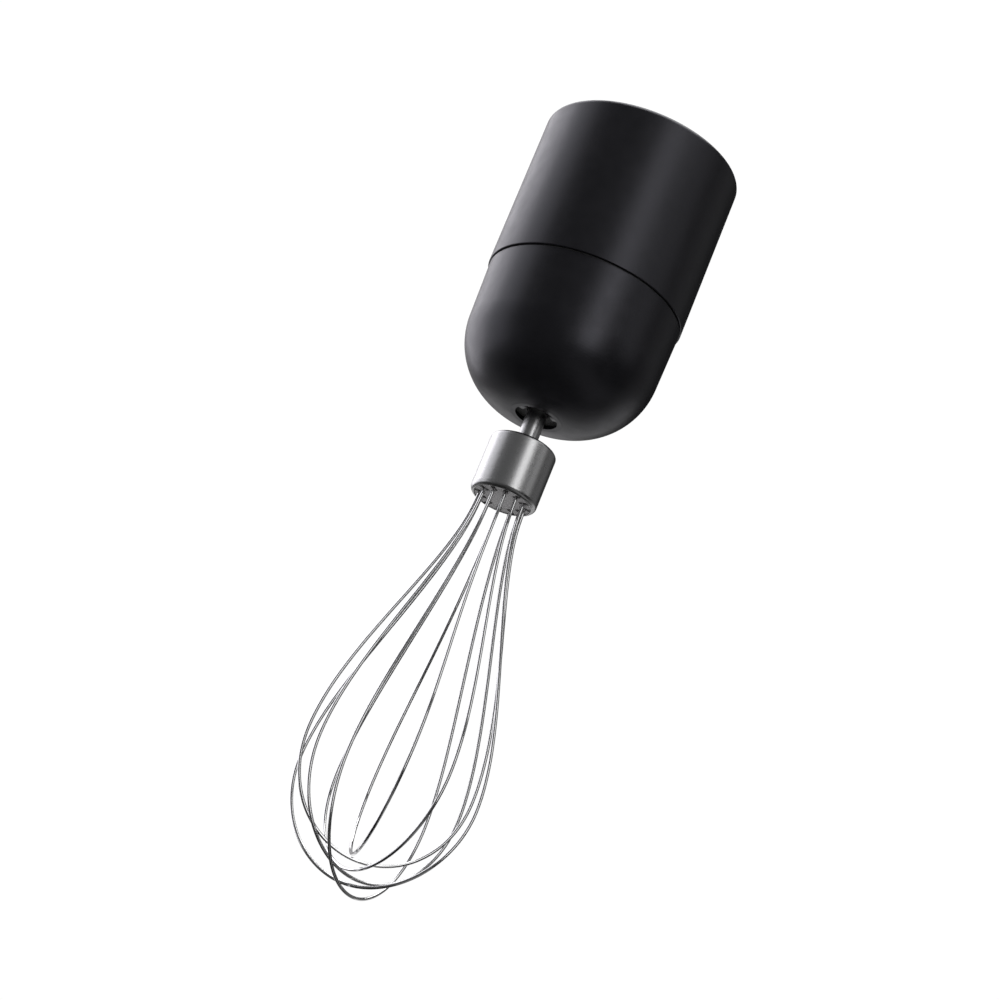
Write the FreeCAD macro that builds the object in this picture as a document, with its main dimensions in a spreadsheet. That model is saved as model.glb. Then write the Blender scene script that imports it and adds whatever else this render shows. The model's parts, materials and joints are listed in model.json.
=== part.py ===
import FreeCAD, Part
import math
import os
from types import SimpleNamespace

import Sketcher
from FreeCAD import Placement, Rotation, Vector

# Whisk attachment of a hand mixer: a coupling collar that clips onto the motor handle, a planetary gearbox
# in a dome below it, and a balloon whisk of six wire loops that pulls out of the gearbox's spindle.
# Millimetres. The origin is the centre of the collar's rim, +Z points up to the motor handle and the whisk
# hangs down. A "depth" is a distance below the rim, so it lies at minus that height.

DIMENSIONS = (
    # coupling collar
    ("collar_rim_radius", 31.07),
    ("collar_radius", 31.0),
    ("rim_rounding", 1.6),
    ("rim_inner_rounding", 0.4),
    ("pilot_radius", 28.4),
    ("pilot_depth", 10.6),
    ("socket_radius", 28.0),
    ("socket_depth", 30.0),
    ("floor_thickness", 2.5),
    ("seal_boss_radius", 9.5),
    ("seal_boss_depth", 34.5),
    ("skirt_inner_radius", 29.45),
    ("skirt_top_depth", 46.5),
    ("collar_inner_radius", 28.6),
    ("seam_depth", 52.5),
    ("seam_gap", 0.4),
    ("guide_rib_width", 2.0),
    ("guide_rib_height", 1.0),
    ("guide_rib_length", 18.0),
    ("guide_rib_count", 3),
    ("lug_width", 9.0),
    ("lug_height", 1.4),
    ("lug_thickness", 3.0),
    ("lug_depth", 12.0),
    ("lug_count", 2),
    # gearbox dome
    ("dome_radius", 30.55),
    ("dome_foot_radius", 29.26),
    ("dome_shoulder", 23.4),
    ("nose_depth", 93.9),
    ("spigot_radius", 29.35),
    ("spigot_inner_radius", 28.0),
    ("spigot_top_depth", 47.0),
    ("cup_top_depth", 53.5),
    ("cup_inner_radius", 22.7),
    ("cup_outer_radius", 24.7),
    ("cup_ledge_radius", 21.4),
    ("dome_wall", 2.4),
    ("boss_radius", 12.0),
    ("boss_top_depth", 70.2),
    ("output_bore_radius", 8.0),
    ("seal_seat_depth", 92.2),
    ("nose_opening_radius", 7.4),
    ("nose_edge_rounding", 0.7),
    ("nose_tab_radius", 4.7),
    ("nose_tab_width", 3.0),
    ("nose_tab_count", 3),
    ("web_top_depth", 72.2),
    ("web_width", 1.4),
    ("gasket_recess", 0.35),
    ("web_count", 6),
    # cover screws
    ("screw_circle_radius", 25.6),
    ("screw_angle", 30.0),
    ("screw_boss_radius", 2.6),
    ("screw_boss_length", 16.0),
    ("screw_count", 3),
    ("screw_head_radius", 2.1),
    ("screw_head_height", 1.7),
    ("screw_radius", 1.2),
    ("screw_length", 12.0),
    ("screw_recess_radius", 1.1),
    ("screw_recess_depth", 0.9),
    ("screw_clearance", 0.2),
    # gears
    ("gear_module", 0.8),
    ("pressure_angle", 25.0),
    ("sun_teeth", 12),
    ("planet_teeth", 18),
    ("ring_teeth", 48),
    ("backlash", 0.12),
    ("ring_top_depth", 55.6),
    ("ring_width", 9.6),
    ("ring_outer_radius", 22.6),
    ("ring_key_width", 4.0),
    ("ring_key_reach", 24.0),
    ("ring_key_length", 6.4),
    ("ring_key_count", 3),
    ("planet_top_depth", 56.2),
    ("planet_width", 8.4),
    ("planet_count", 3),
    ("sun_top_depth", 56.0),
    ("sun_width", 9.0),
    # cover, bushes, washers and seals
    ("cover_radius", 27.8),
    ("cover_top_depth", 51.0),
    ("cover_boss_radius", 8.0),
    ("cover_boss_depth", 43.5),
    ("cover_lip_inner_radius", 21.2),
    ("cover_lip_outer_radius", 22.5),
    ("input_bush_radius", 5.5),
    ("input_bush_flange_radius", 7.0),
    ("bush_flange_thickness", 1.2),
    ("running_clearance", 0.04),
    ("input_shaft_radius", 3.2),
    ("input_shaft_top_depth", 20.0),
    ("input_clip_depth", 41.2),
    ("clip_thickness", 0.8),
    ("clip_height", 2.0),
    ("clip_groove", 0.5),
    ("clip_opening", 3.0),
    ("input_seal_radius", 6.5),
    ("loose_clearance", 0.1),
    ("seal_lip_thickness", 0.8),
    ("seal_lip_bevel", 0.4),
    ("seal_waist", 1.0),
    ("coupling_top_depth", 11.0),
    ("coupling_bottom_depth", 29.2),
    ("coupling_radius", 7.5),
    ("coupling_flange_radius", 9.0),
    ("coupling_flange_thickness", 1.5),
    ("coupling_recess_flats", 8.0),
    ("coupling_recess_depth", 8.0),
    ("coupling_flute_radius", 1.1),
    ("coupling_flute_circle", 7.8),
    ("coupling_flute_stop", 2.0),
    ("coupling_flute_count", 6),
    ("output_bush_end_depth", 88.0),
    ("output_bush_flange_radius", 10.5),
    ("output_bush_flange_thickness", 1.0),
    ("washer_outer_radius", 11.5),
    ("washer_thickness", 0.6),
    ("washer_clearance", 0.3),
    ("nose_seal_inner_radius", 3.5),
    ("nose_seal_top_depth", 90.5),
    # planet carrier
    ("carrier_radius", 16.5),
    ("carrier_top_depth", 65.0),
    ("carrier_bottom_depth", 68.5),
    ("carrier_plate_thickness", 1.6),
    ("carrier_plate_top_depth", 54.0),
    ("carrier_plate_hole_radius", 6.6),
    ("pin_radius", 2.0),
    ("spindle_radius", 6.0),
    ("spindle_end_depth", 90.0),
    ("spindle_clip_depth", 88.4),
    ("spindle_clip_height", 1.6),
    ("spindle_bore_clearance", 0.06),
    ("snap_groove_depth", 84.0),
    ("snap_groove_width", 1.6),
    ("snap_groove_radius", 4.5),
    # whisk shaft, ferrule and wire holder
    ("whisk_shaft_radius", 3.1),
    ("whisk_shaft_top_depth", 72.6),
    ("hex_end_depth", 80.0),
    ("hex_flats", 5.3),
    ("hex_clearance", 0.08),
    ("snap_notch_radius", 2.6),
    ("snap_notch_bevel", 0.3),
    ("shaft_head_radius", 4.6),
    ("shaft_head_thickness", 2.0),
    ("shaft_end_depth", 109.0),
    ("ferrule_radius", 10.28),
    ("ferrule_top_depth", 103.9),
    ("ferrule_end_depth", 122.5),
    ("ferrule_wall", 0.6),
    ("ferrule_top_rounding", 1.07),
    ("ferrule_end_rounding", 1.68),
    ("ferrule_mouth_radius", 8.9),
    ("holder_end_depth", 122.2),
    ("slot_inner_radius", 5.5),
    ("slot_outer_radius", 9.1),
    ("slot_width", 1.5),
    ("slot_depth", 1.8),
    ("slot_count", 12),
    # wires: each loop runs down one leg, round the tip and up the opposite leg
    ("wire_diameter", 1.0),
    ("wire_circle_radius", 6.93),
    ("wire_top_depth", 110.5),
    ("leg_lean", -3.9),
    ("leg_start_pull", 20.6),
    ("leg_end_pull", 26.7),
    ("crown_side_pull", 18.4),
    ("crown_tip_pull", 13.6),
    ("widest_fraction", 0.743),
    ("wire_1_slot", 60.0),
    ("wire_1_twist", -7.0),
    ("wire_1_reach", 23.8),
    ("wire_1_tip_depth", 248.9),
    ("wire_1_sway_along", 1.1),
    ("wire_1_sway_across", -0.9),
    ("wire_2_slot", -30.0),
    ("wire_2_twist", 11.0),
    ("wire_2_reach", 27.7),
    ("wire_2_tip_depth", 246.5),
    ("wire_2_sway_along", 0.5),
    ("wire_2_sway_across", 0.35),
    ("wire_3_slot", 30.0),
    ("wire_3_twist", -0.5),
    ("wire_3_reach", 26.4),
    ("wire_3_tip_depth", 244.3),
    ("wire_3_sway_along", 0.45),
    ("wire_3_sway_across", -0.5),
    ("wire_4_slot", -60.0),
    ("wire_4_twist", 2.5),
    ("wire_4_reach", 27.8),
    ("wire_4_tip_depth", 241.9),
    ("wire_4_sway_along", 0.0),
    ("wire_4_sway_across", 0.8),
    ("wire_5_slot", 0.0),
    ("wire_5_twist", 13.0),
    ("wire_5_reach", 26.4),
    ("wire_5_tip_depth", 239.4),
    ("wire_5_sway_along", -1.3),
    ("wire_5_sway_across", -0.3),
    ("wire_6_slot", -90.0),
    ("wire_6_twist", 7.5),
    ("wire_6_reach", 26.9),
    ("wire_6_tip_depth", 237.0),
    ("wire_6_sway_along", -0.25),
    ("wire_6_sway_across", -0.5),
)
WIRE_COUNT = 6

# how far a cut runs past the face it opens, and how far an added rib reaches into the wall it grows from
OVERRUN = 0.5
# an edge within this distance of a stated place is the one that is meant
SAME_PLACE = 0.05

# gear teeth: heights in modules, straight steps along a flank, and how far a space is cut past the tips
ADDENDUM = 1.0
DEDENDUM = 1.25
FLANK_STEPS = 6
TOOTH_OVERRUN = 0.4

# wire paths: points along a leg and along half a crown, how the crown's sway grows on the way down, and the
# share of the shorter run that an arc takes
LEG_POINTS = 7
CROWN_POINTS = 6
SWAY_POWER = 1.5
ARC_SHARE = 0.45

doc = FreeCAD.newDocument("whisk_attachment")
sheet = doc.addObject("Spreadsheet::Sheet", "Sizes")
subparts = []


class Size:
    """A length from the sheet with the expression that reads it, so that sums of lengths stay bound."""

    def __init__(self, value, text):
        self.value = float(value)
        self.text = text

    def __add__(self, other):
        other = as_size(other)
        return Size(self.value + other.value, f"({self.text} + {other.text})")

    def __sub__(self, other):
        other = as_size(other)
        return Size(self.value - other.value, f"({self.text} - {other.text})")

    def __mul__(self, other):
        other = as_size(other)
        return Size(self.value * other.value, f"({self.text} * {other.text})")

    def __truediv__(self, other):
        other = as_size(other)
        return Size(self.value / other.value, f"({self.text} / {other.text})")

    def __neg__(self):
        return Size(-self.value, f"(-1 * {self.text})")


def as_size(number):
    return number if isinstance(number, Size) else Size(number, f"({float(number)})")


def fill_sheet():
    """Writes the driving dimensions into the sheet and returns them by name."""
    for row, (alias, number) in enumerate(DIMENSIONS, start=1):
        sheet.set(f"A{row}", alias)
        sheet.set(f"B{row}", str(number))
        sheet.setAlias(f"B{row}", alias)
    doc.recompute()
    return SimpleNamespace(**{alias: Size(sheet.get(alias), f"Sizes.{alias}") for alias, _ in DIMENSIONS})


D = fill_sheet()


# ---------------------------------------------------------------- building blocks


def bind(thing, prop, size):
    thing.setExpression(prop, as_size(size).text)


def new_body(label, compound=False):
    body = doc.addObject("PartDesign::Body", label)
    body.Label = label
    body.AllowCompound = compound
    subparts.append(body)
    return body


def origin_feature(body, role):
    return next(f for f in body.Origin.OriginFeatures if f.Role == role)


def new_sketch(body, name, role, height=None):
    """A sketch on one of the body's own planes, moved along the plane's normal to a height."""
    sketch = body.newObject("Sketcher::SketchObject", name)
    sketch.AttachmentSupport = [(origin_feature(body, role), "")]
    sketch.MapMode = "FlatFace"
    if height is not None:
        bind(sketch, "AttachmentOffset.Base.z", height)
    return sketch


def fix_distance(sketch, kind, geometry, point, size):
    """Holds one coordinate of a point at a bound distance from the sketch's origin."""
    size = as_size(size)
    index = sketch.addConstraint(Sketcher.Constraint(kind, -1, 1, geometry, point, size.value))
    sketch.setExpression(f"Constraints[{index}]", size.text)


def add_outline(sketch, corners):
    """Adds a closed polygon whose corners are bound to the sheet."""
    first = sketch.GeometryCount
    sizes = [(as_size(x), as_size(y)) for x, y in corners]
    points = [Vector(x.value, y.value, 0) for x, y in sizes]
    for start, end in zip(points, points[1:] + points[:1]):
        sketch.addGeometry(Part.LineSegment(start, end), False)
    for i, (x, y) in enumerate(sizes):
        after = (i + 1) % len(sizes)
        sketch.addConstraint(Sketcher.Constraint("Coincident", first + i, 2, first + after, 1))
        fix_distance(sketch, "DistanceX", first + i, 1, x)
        fix_distance(sketch, "DistanceY", first + i, 1, y)


def add_circle(sketch, x, y, radius):
    x, y, radius = as_size(x), as_size(y), as_size(radius)
    circle = Part.Circle(Vector(x.value, y.value, 0), Vector(0, 0, 1), radius.value)
    index = sketch.addGeometry(circle, False)
    fix_distance(sketch, "DistanceX", index, 3, x)
    fix_distance(sketch, "DistanceY", index, 3, y)
    held = sketch.addConstraint(Sketcher.Constraint("Radius", index, radius.value))
    sketch.setExpression(f"Constraints[{held}]", radius.text)


def add_hexagon(sketch, flats):
    """A hexagon across the given flats, centred on the sketch's origin."""
    corner = as_size(flats) / math.sqrt(3.0)
    angles = [math.radians(60 * i) for i in range(6)]
    add_outline(sketch, [(corner * round(math.cos(a), 9), corner * round(math.sin(a), 9)) for a in angles])


def turned(body, name, corners, cut=False):
    """Revolves an outline of (radius, height) corners about the body's axis, adding or cutting."""
    sketch = new_sketch(body, name + "_outline", "XZ_Plane")
    add_outline(sketch, corners)
    feature = body.newObject("PartDesign::Groove" if cut else "PartDesign::Revolution", name)
    feature.Profile = (sketch, [""])
    feature.ReferenceAxis = (sketch, ["V_Axis"])
    feature.Angle = 360.0
    sketch.Visibility = False
    return feature


def raised(body, name, sketch, length, cut=False, downward=True):
    """Pads or pockets a sketch by a bound length, downward unless told otherwise."""
    feature = body.newObject("PartDesign::Pocket" if cut else "PartDesign::Pad", name)
    feature.Profile = (sketch, [""])
    # a pocket already cuts against its sketch's normal, a pad adds along it
    feature.Reversed = downward != cut
    bind(feature, "Length", length)
    return feature


def repeated(body, name, feature, count):
    """Repeats a feature evenly round the body's axis."""
    pattern = body.newObject("PartDesign::PolarPattern", name)
    pattern.Originals = [feature]
    pattern.Axis = (origin_feature(body, "Z_Axis"), [""])
    pattern.Angle = 360.0
    bind(pattern, "Occurrences", count)
    body.Tip = pattern
    return pattern


def rounded(body, name, feature, radius, chosen):
    """Fillets the edges of a feature that a test picks."""
    doc.recompute()
    edges = [f"Edge{i}" for i, edge in enumerate(feature.Shape.Edges, start=1) if chosen(edge)]
    fillet = body.newObject("PartDesign::Fillet", name)
    fillet.Base = (feature, edges)
    bind(fillet, "Radius", radius)
    return fillet


def circle_at(radius, height):
    """Picks the round edges of a radius at a height."""
    radius, height = as_size(radius).value, as_size(height).value

    def chosen(edge):
        box = edge.BoundBox
        heights = max(abs(box.ZMin - height), abs(box.ZMax - height))
        return abs(box.XMax - radius) < SAME_PLACE and heights < SAME_PLACE

    return chosen


def ring_outline(inner, outer, top_depth, bottom_depth):
    return [(inner, -top_depth), (outer, -top_depth), (outer, -bottom_depth), (inner, -bottom_depth)]


def box_outline(x_low, x_high, width):
    half = as_size(width) / 2
    return [(x_low, -half), (x_high, -half), (x_high, half), (x_low, half)]


# ---------------------------------------------------------------- housing


def coupling_collar():
    """The open socket that clips over the motor handle: a plain pilot bore, then guide ribs and bayonet
    lugs, and the seal's boss in its floor."""
    body = new_body("coupling_collar")
    skirt_end = D.seam_depth - D.seam_gap / 2
    floor_bottom = D.socket_depth + D.floor_thickness
    shell = turned(body, "collar_shell", [
        (D.pilot_radius, 0),
        (D.collar_rim_radius, 0),
        (D.collar_radius, -skirt_end),
        (D.skirt_inner_radius, -skirt_end),
        (D.skirt_inner_radius, -D.skirt_top_depth),
        (D.collar_inner_radius, -D.skirt_top_depth),
        (D.collar_inner_radius, -floor_bottom),
        (D.seal_boss_radius, -floor_bottom),
        (D.seal_boss_radius, -D.seal_boss_depth),
        (D.input_seal_radius, -D.seal_boss_depth),
        (D.input_seal_radius, -D.socket_depth),
        (D.socket_radius, -D.socket_depth),
        (D.socket_radius, -D.pilot_depth),
        (D.pilot_radius, -D.pilot_depth),
    ])
    rim = rounded(body, "rim_outside", shell, D.rim_rounding, circle_at(D.collar_rim_radius, 0))
    rounded(body, "rim_inside", rim, D.rim_inner_rounding, circle_at(D.pilot_radius, 0))

    rib_sketch = new_sketch(body, "guide_rib_outline", "XY_Plane", -D.socket_depth - OVERRUN)
    add_outline(rib_sketch, box_outline(
        D.socket_radius - D.guide_rib_height, D.socket_radius + OVERRUN, D.guide_rib_width))
    rib = raised(body, "guide_rib", rib_sketch, D.guide_rib_length, downward=False)
    repeated(body, "guide_ribs", rib, D.guide_rib_count)

    lug_sketch = new_sketch(body, "lug_outline", "XY_Plane", -D.lug_depth)
    half = D.lug_width / 2
    inner = D.socket_radius - D.lug_height
    outer = D.socket_radius + OVERRUN
    add_outline(lug_sketch, [(-half, inner), (half, inner), (half, outer), (-half, outer)])
    lug = raised(body, "bayonet_lug", lug_sketch, D.lug_thickness)
    repeated(body, "bayonet_lugs", lug, D.lug_count)


def screw_place():
    """The x and y of the first cover screw."""
    angle = math.radians(D.screw_angle.value)
    return D.screw_circle_radius * math.cos(angle), D.screw_circle_radius * math.sin(angle)


def gearbox_dome():
    """The lower casing: spigot, gear cup, bearing boss, screw bosses and the three-tabbed nose opening."""
    body = new_body("gearbox_dome")
    shoulder_top = D.seam_depth + D.seam_gap / 2
    blank = turned(body, "dome_blank", [
        (0, -D.spigot_top_depth),
        (D.spigot_radius, -D.spigot_top_depth),
        (D.spigot_radius, -shoulder_top),
        (D.dome_radius, -shoulder_top),
        (D.dome_foot_radius, -D.nose_depth),
        (0, -D.nose_depth),
    ])
    rounded(body, "dome_rounding", blank, D.dome_shoulder, circle_at(D.dome_foot_radius, -D.nose_depth))

    # the inside follows the rounding, one wall thickness in from it
    taper = (D.dome_radius - D.dome_foot_radius) / (D.nose_depth - shoulder_top)
    centre_radius = D.dome_foot_radius - D.dome_shoulder + D.dome_shoulder * taper
    centre_depth = D.nose_depth - D.dome_shoulder

    def inside(radius):
        reach = D.dome_shoulder.value - D.dome_wall.value
        across = as_size(radius).value - centre_radius.value
        return centre_depth + math.sqrt(reach ** 2 - across ** 2)

    ledge_depth = D.ring_top_depth + D.ring_width
    mid_radius = (D.cup_ledge_radius * 2 + D.boss_radius) / 3
    chamber = turned(body, "gear_chamber", [
        (0, OVERRUN - D.spigot_top_depth.value),
        (D.spigot_inner_radius, OVERRUN - D.spigot_top_depth.value),
        (D.spigot_inner_radius, -D.cup_top_depth),
        (D.cup_inner_radius, -D.cup_top_depth),
        (D.cup_inner_radius, -ledge_depth),
        (D.cup_ledge_radius, -ledge_depth),
        (D.cup_ledge_radius, -inside(D.cup_ledge_radius)),
        (mid_radius, -inside(mid_radius)),
        (D.boss_radius, -inside(D.boss_radius)),
        (D.boss_radius, -D.boss_top_depth),
        (D.output_bore_radius, -D.boss_top_depth),
        (D.output_bore_radius, -D.seal_seat_depth),
        (D.nose_opening_radius, -D.seal_seat_depth),
        (D.nose_opening_radius, -D.nose_depth - OVERRUN),
        (0, -D.nose_depth - OVERRUN),
    ], cut=True)
    rounded(body, "nose_edge", chamber, D.nose_edge_rounding,
            circle_at(D.nose_opening_radius, -D.nose_depth))

    low_radius = (D.cup_outer_radius + D.spigot_inner_radius) / 2
    turned(body, "outer_gap", [
        (D.cup_outer_radius, -D.cup_top_depth + OVERRUN),
        (D.spigot_inner_radius, -D.cup_top_depth + OVERRUN),
        (D.spigot_inner_radius, -centre_depth),
        (low_radius, -inside(low_radius)),
        (D.cup_outer_radius, -inside(D.cup_outer_radius)),
    ], cut=True)

    web_sketch = new_sketch(body, "web_outline", "XZ_Plane")
    add_outline(web_sketch, [
        (D.boss_radius - OVERRUN, -D.web_top_depth),
        (D.cup_ledge_radius + OVERRUN, -D.web_top_depth),
        (D.cup_ledge_radius + OVERRUN, -inside(D.cup_ledge_radius) - OVERRUN),
        (mid_radius, -inside(mid_radius) - OVERRUN),
        (D.boss_radius - OVERRUN, -inside(D.boss_radius) - OVERRUN),
    ])
    web = raised(body, "web", web_sketch, D.web_width)
    web.Midplane = True
    repeated(body, "webs", web, D.web_count)

    x, y = screw_place()
    boss_sketch = new_sketch(body, "screw_boss_outline", "XY_Plane", -D.cup_top_depth)
    add_circle(boss_sketch, x, y, D.screw_boss_radius)
    boss = raised(body, "screw_boss", boss_sketch, D.screw_boss_length)
    repeated(body, "screw_bosses", boss, D.screw_count)
    pilot_sketch = new_sketch(body, "pilot_outline", "XY_Plane", -D.cup_top_depth)
    add_circle(pilot_sketch, x, y, D.screw_radius)
    pilot = raised(body, "pilot_hole", pilot_sketch, D.screw_length, cut=True)
    repeated(body, "pilot_holes", pilot, D.screw_count)

    key_sketch = new_sketch(body, "keyway_outline", "XY_Plane", -D.cup_top_depth)
    half = D.ring_key_width / 2 + D.loose_clearance
    key_outside = D.ring_key_reach + D.loose_clearance
    add_outline(key_sketch, [
        (-half, D.cup_inner_radius - OVERRUN), (half, D.cup_inner_radius - OVERRUN),
        (half, key_outside), (-half, key_outside)])
    key_length = D.ring_top_depth + D.ring_key_length - D.cup_top_depth + D.loose_clearance
    keyway = raised(body, "keyway", key_sketch, key_length, cut=True)
    repeated(body, "keyways", keyway, D.ring_key_count)

    # tabs at the nose, one of them at the back
    tab_sketch = new_sketch(body, "nose_tab_outline", "XY_Plane", -D.seal_seat_depth)
    half = D.nose_tab_width / 2
    tab_root = D.nose_opening_radius + OVERRUN
    add_outline(tab_sketch, [
        (-half, D.nose_tab_radius), (half, D.nose_tab_radius), (half, tab_root), (-half, tab_root)])
    tab_height = D.nose_depth - D.seal_seat_depth - D.nose_edge_rounding / 2
    tab = raised(body, "nose_tab", tab_sketch, tab_height)
    repeated(body, "nose_tabs", tab, D.nose_tab_count)


def seam_gasket():
    """The soft ring squeezed in the joint between collar and dome."""
    body = new_body("seam_gasket")
    half_gap = D.seam_gap / 2
    outer = D.dome_radius - D.gasket_recess
    turned(body, "gasket_ring", ring_outline(
        D.spigot_radius, outer, D.seam_depth - half_gap, D.seam_depth + half_gap))


def gearbox_cover():
    """The plate that closes the gear cup, with the input bush's boss and a lip that holds the ring gear."""
    body = new_body("gearbox_cover")
    turned(body, "cover_plate", [
        (D.input_bush_radius, -D.cover_boss_depth),
        (D.cover_boss_radius, -D.cover_boss_depth),
        (D.cover_boss_radius, -D.cover_top_depth),
        (D.cover_radius, -D.cover_top_depth),
        (D.cover_radius, -D.cup_top_depth),
        (D.cover_lip_outer_radius, -D.cup_top_depth),
        (D.cover_lip_outer_radius, -D.ring_top_depth),
        (D.cover_lip_inner_radius, -D.ring_top_depth),
        (D.cover_lip_inner_radius, -D.cup_top_depth),
        (D.input_bush_radius, -D.cup_top_depth),
    ])
    x, y = screw_place()
    sketch = new_sketch(body, "screw_hole_outline", "XY_Plane", -D.cover_top_depth)
    add_circle(sketch, x, y, D.screw_radius + D.screw_clearance)
    hole = raised(body, "screw_hole", sketch, D.cup_top_depth - D.cover_top_depth + OVERRUN, cut=True)
    repeated(body, "screw_holes", hole, D.screw_count)


def cover_screws():
    """The pan-head screws that hold the cover, drawn as one group of equal solids."""
    body = new_body("cover_screws", compound=True)
    x, y = screw_place()
    shank_sketch = new_sketch(body, "shank_outline", "XY_Plane", -D.cover_top_depth)
    add_circle(shank_sketch, x, y, D.screw_radius)
    shank_length = D.screw_length + D.cup_top_depth - D.cover_top_depth - OVERRUN
    shank = raised(body, "shank", shank_sketch, shank_length)
    head_sketch = new_sketch(body, "head_outline", "XY_Plane", -D.cover_top_depth)
    add_circle(head_sketch, x, y, D.screw_head_radius)
    head = raised(body, "head", head_sketch, D.screw_head_height, downward=False)
    recess_top = -D.cover_top_depth + D.screw_head_height
    recess_sketch = new_sketch(body, "recess_outline", "XY_Plane", recess_top)
    add_circle(recess_sketch, x, y, D.screw_recess_radius)
    recess = raised(body, "recess", recess_sketch, D.screw_recess_depth, cut=True)
    pattern = repeated(body, "screws", shank, D.screw_count)
    pattern.Originals = [shank, head, recess]


def involute(angle):
    return math.tan(angle) - angle


def tooth_space(teeth, inner, outer, internal, centre):
    """The outline of one tooth space: involute flanks between two radii, centred on an angle."""
    pressure = math.radians(D.pressure_angle.value)
    pitch_radius = D.gear_module.value * teeth / 2
    base_radius = pitch_radius * math.cos(pressure)
    slack = D.backlash.value / (2 * pitch_radius)
    quarter = math.pi / (2 * teeth)
    flank = []
    for i in range(FLANK_STEPS + 1):
        radius = inner + (outer - inner) * i / FLANK_STEPS
        local = math.acos(min(1.0, base_radius / radius))
        bulge = involute(pressure) - involute(local)
        half = quarter + slack + bulge if internal else quarter + slack - bulge
        flank.append((radius, half))
    points = [(r, centre + a) for r, a in flank] + [(r, centre - a) for r, a in reversed(flank)]
    return [Vector(r * math.cos(a), r * math.sin(a), 0) for r, a in points]


def cut_teeth(body, teeth, points, width):
    """Cuts one tooth space through a gear blank from its top face and repeats it for every tooth."""
    sketch = new_sketch(body, "tooth_space", "XY_Plane", OVERRUN)
    for start, end in zip(points, points[1:] + points[:1]):
        sketch.addGeometry(Part.LineSegment(start, end), False)
    for i in range(len(points)):
        sketch.addConstraint(Sketcher.Constraint("Coincident", i, 2, (i + 1) % len(points), 1))
        sketch.addConstraint(Sketcher.Constraint("Block", i))
    space = raised(body, "space", sketch, width + OVERRUN * 2, cut=True)
    return repeated(body, "teeth", space, teeth)


def ring_gear():
    """The fixed internal gear, keyed into the dome's cup. Its own origin is the middle of its top face."""
    body = new_body("ring_gear")
    bind(body, "Placement.Base.z", -D.ring_top_depth)
    tip = D.gear_module * (D.ring_teeth / 2 - ADDENDUM)
    root = D.gear_module * (D.ring_teeth / 2 + DEDENDUM)
    turned(body, "ring_blank", [
        (tip, 0), (D.ring_outer_radius, 0), (D.ring_outer_radius, -D.ring_width), (tip, -D.ring_width)])
    key_sketch = new_sketch(body, "key_outline", "XY_Plane")
    half = D.ring_key_width / 2
    add_outline(key_sketch, [
        (-half, D.ring_outer_radius - OVERRUN), (half, D.ring_outer_radius - OVERRUN),
        (half, D.ring_key_reach), (-half, D.ring_key_reach)])
    key = raised(body, "key", key_sketch, D.ring_key_length)
    repeated(body, "keys", key, D.ring_key_count)
    teeth = int(D.ring_teeth.value)
    points = tooth_space(teeth, tip.value - TOOTH_OVERRUN, root.value, True, math.pi / teeth)
    cut_teeth(body, D.ring_teeth, points, D.ring_width)


def input_bush():
    body = new_body("input_bush")
    bore = D.input_shaft_radius + D.running_clearance
    flange_top = D.cover_boss_depth - D.bush_flange_thickness
    turned(body, "bush", [
        (bore, -flange_top),
        (D.input_bush_flange_radius, -flange_top),
        (D.input_bush_flange_radius, -D.cover_boss_depth),
        (D.input_bush_radius, -D.cover_boss_depth),
        (D.input_bush_radius, -D.cup_top_depth),
        (bore, -D.cup_top_depth),
    ])


def input_seal():
    """The lip seal in the socket's floor, round the input shaft."""
    body = new_body("input_seal")
    lip = D.input_shaft_radius + D.loose_clearance
    waist = D.input_shaft_radius + D.seal_waist
    lip_end = D.socket_depth + D.seal_lip_thickness
    turned(body, "seal", [
        (lip, -D.socket_depth),
        (D.input_seal_radius, -D.socket_depth),
        (D.input_seal_radius, -D.seal_boss_depth),
        (waist, -D.seal_boss_depth),
        (waist, -lip_end - D.seal_lip_bevel),
        (lip, -lip_end),
    ])


def output_bush():
    """The flanged bronze bush that carries the spindle."""
    body = new_body("output_bush")
    bore = D.spindle_radius + D.running_clearance
    flange_top = D.boss_top_depth - D.output_bush_flange_thickness
    turned(body, "bush", [
        (bore, -flange_top),
        (D.output_bush_flange_radius, -flange_top),
        (D.output_bush_flange_radius, -D.boss_top_depth),
        (D.output_bore_radius, -D.boss_top_depth),
        (D.output_bore_radius, -D.output_bush_end_depth),
        (bore, -D.output_bush_end_depth),
    ])


def thrust_washer():
    body = new_body("thrust_washer")
    bottom = D.boss_top_depth - D.output_bush_flange_thickness
    turned(body, "washer", ring_outline(
        D.spindle_radius + D.washer_clearance, D.washer_outer_radius, bottom - D.washer_thickness, bottom))


def nose_seal():
    """The felt ring behind the nose opening, round the whisk's shaft."""
    body = new_body("nose_seal")
    turned(body, "seal_ring", ring_outline(
        D.nose_seal_inner_radius, D.output_bore_radius, D.nose_seal_top_depth, D.seal_seat_depth))


# ---------------------------------------------------------------- input shaft


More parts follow.
